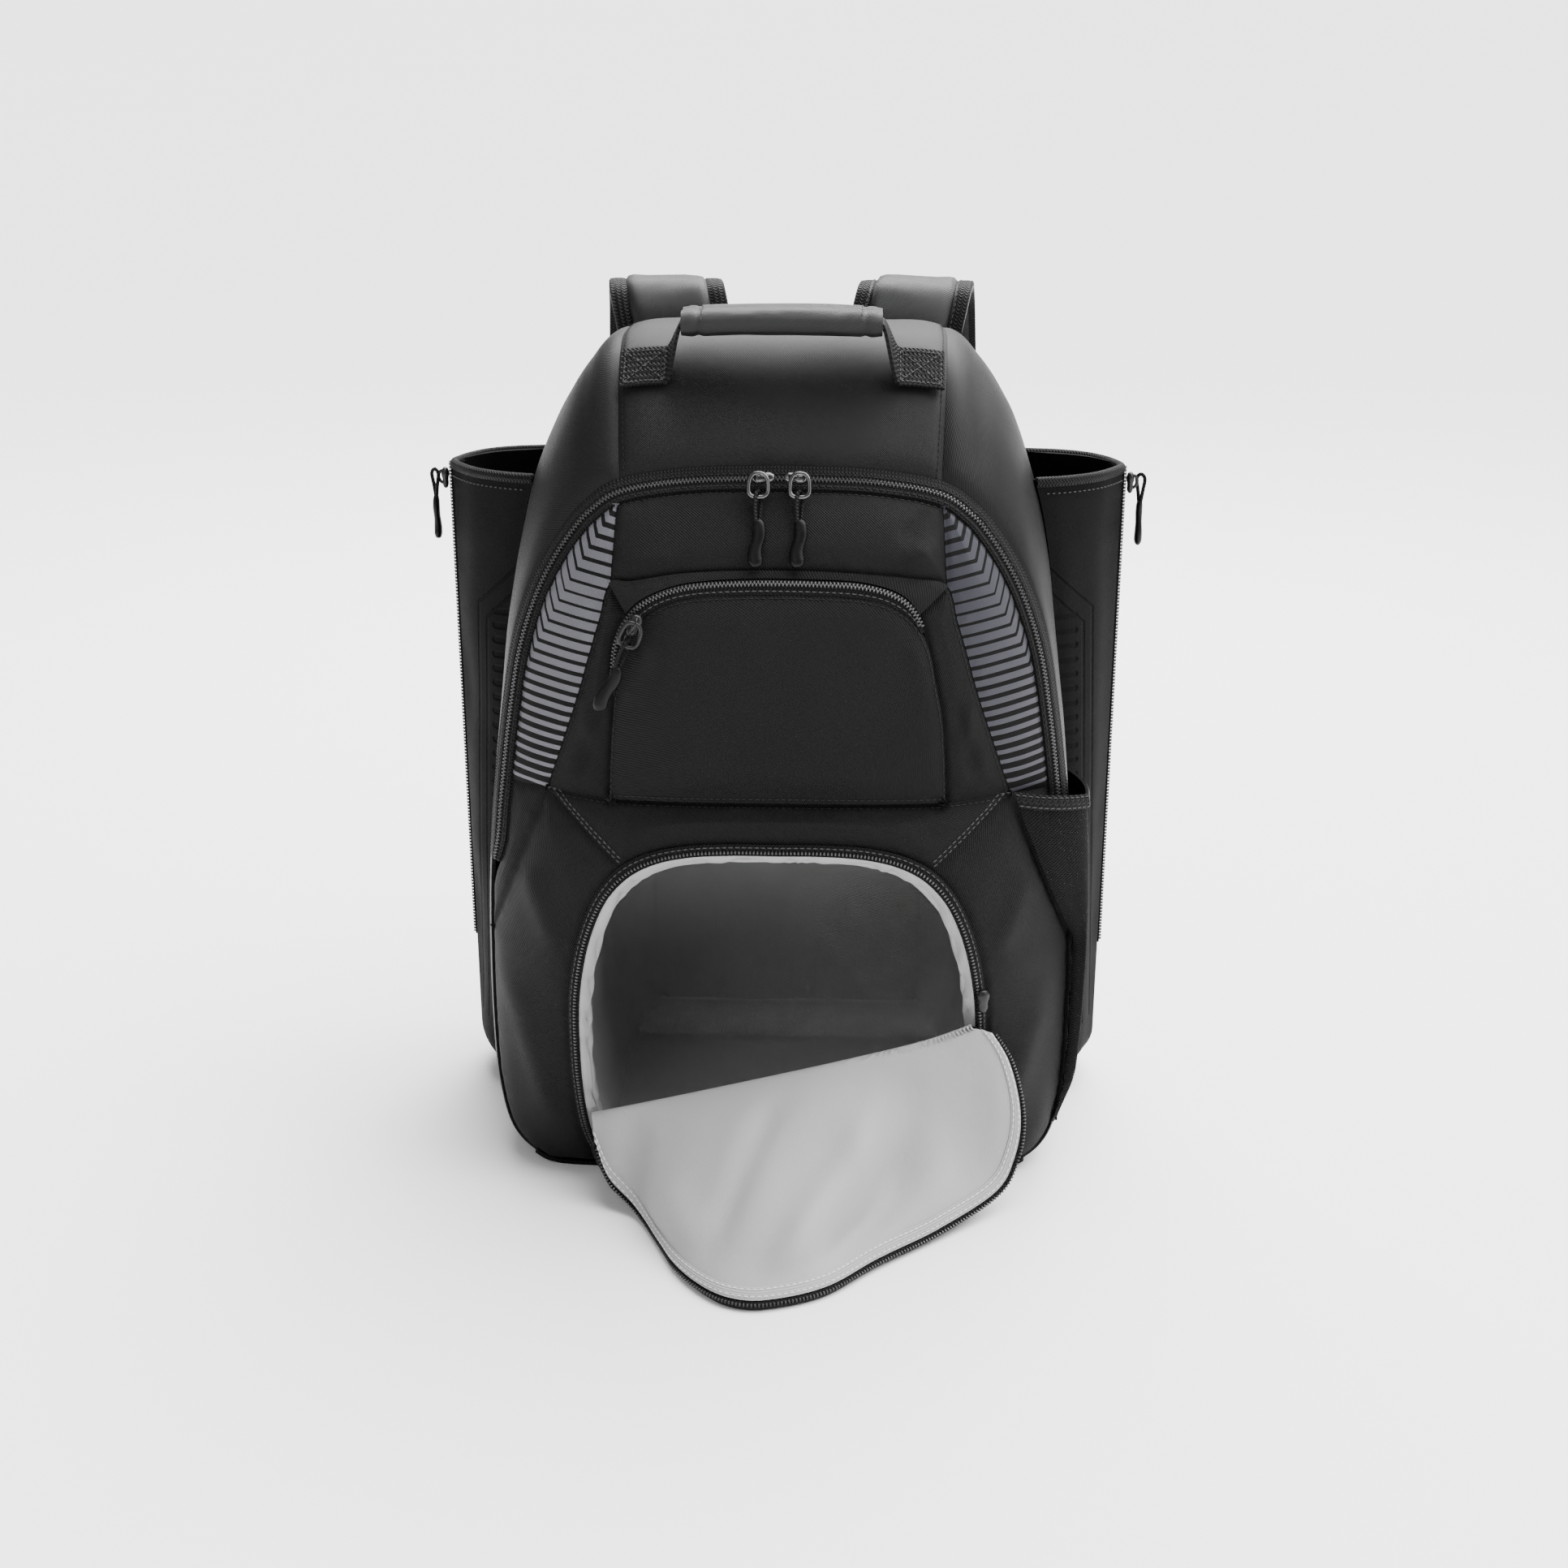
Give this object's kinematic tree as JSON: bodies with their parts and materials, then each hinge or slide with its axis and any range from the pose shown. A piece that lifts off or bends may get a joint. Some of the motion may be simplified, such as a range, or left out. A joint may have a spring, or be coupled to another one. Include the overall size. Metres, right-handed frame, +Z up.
{
  "type": "baseball bat backpack",
  "caption": "Baseball bat backpack with bat sleeves at its sides, padded straps, a front pocket, a mesh bottle pocket and a shoe compartment whose door folds down.",
  "frame": {"origin": "middle of the flat underside, on the floor", "axes": "-Y is the front with the pockets, +Y the wearer's back, +X right in the front view, +Z up"},
  "size_m": [0.4168, 0.4117, 0.4865],
  "materials": {
    "twill": "fine matt twill",
    "gusset": "smooth satin weave",
    "chevron": "printed grey with black chevron stripes",
    "tape": "woven zip tape",
    "lining": "light grey satin twill",
    "neoprene": "embossed neoprene",
    "mesh": "stretch mesh",
    "webbing": "ribbed webbing",
    "padding": "padded mesh cloth",
    "gunmetal": "gunmetal",
    "rubber": "soft matt rubber",
    "plastic": "satin moulded plastic"
  },
  "bodies": {
    "root": {"back_panel": "padding", "base_panel": "tape", "bottle_binding": "webbing", "bottle_pocket": "mesh", "chevron_panel_left": "chevron", "chevron_panel_right": "chevron", "flap_lining": "lining", "flap_shell": "twill", "front_top_panel": "twill", "gusset_left": "gusset", "gusset_right": "gusset", "gusset_top": "gusset", "handle_grip": "padding", "handle_webbing": "webbing", "lower_band": "twill", "lower_panel_left": "twill", "lower_panel_right": "twill", "main_left_cord": "webbing", "main_left_grip": "rubber", "main_left_ring": "gunmetal", "main_left_slider": "gunmetal", "main_right_cord": "webbing", "main_right_grip": "rubber", "main_right_ring": "gunmetal", "main_right_slider": "gunmetal", "main_zip": "tape", "opening_zip": "tape", "pocket_cord": "webbing", "pocket_grip": "rubber", "pocket_hood": "twill", "pocket_panel": "twill", "pocket_ring": "gunmetal", "pocket_side_left": "twill", "pocket_side_right": "twill", "pocket_slider": "gunmetal", "pocket_zip": "tape", "shoe_lining": "lining", "shoe_slider": "gunmetal", "side_strip_left": "twill", "side_strip_right": "twill", "sleeve_hem_left": "webbing", "sleeve_hem_right": "webbing", "sleeve_left": "neoprene", "sleeve_left_cord": "webbing", "sleeve_left_grip": "rubber", "sleeve_left_slider": "gunmetal", "sleeve_right": "neoprene", "sleeve_right_cord": "webbing", "sleeve_right_grip": "rubber", "sleeve_right_slider": "gunmetal", "sleeve_zip_left": "tape", "sleeve_zip_right": "tape", "strap_adjuster_left": "plastic", "strap_adjuster_right": "plastic", "strap_pad_left": "padding", "strap_pad_right": "padding", "strap_webbing_left": "webbing", "strap_webbing_right": "webbing"}
  },
  "joints": []
}
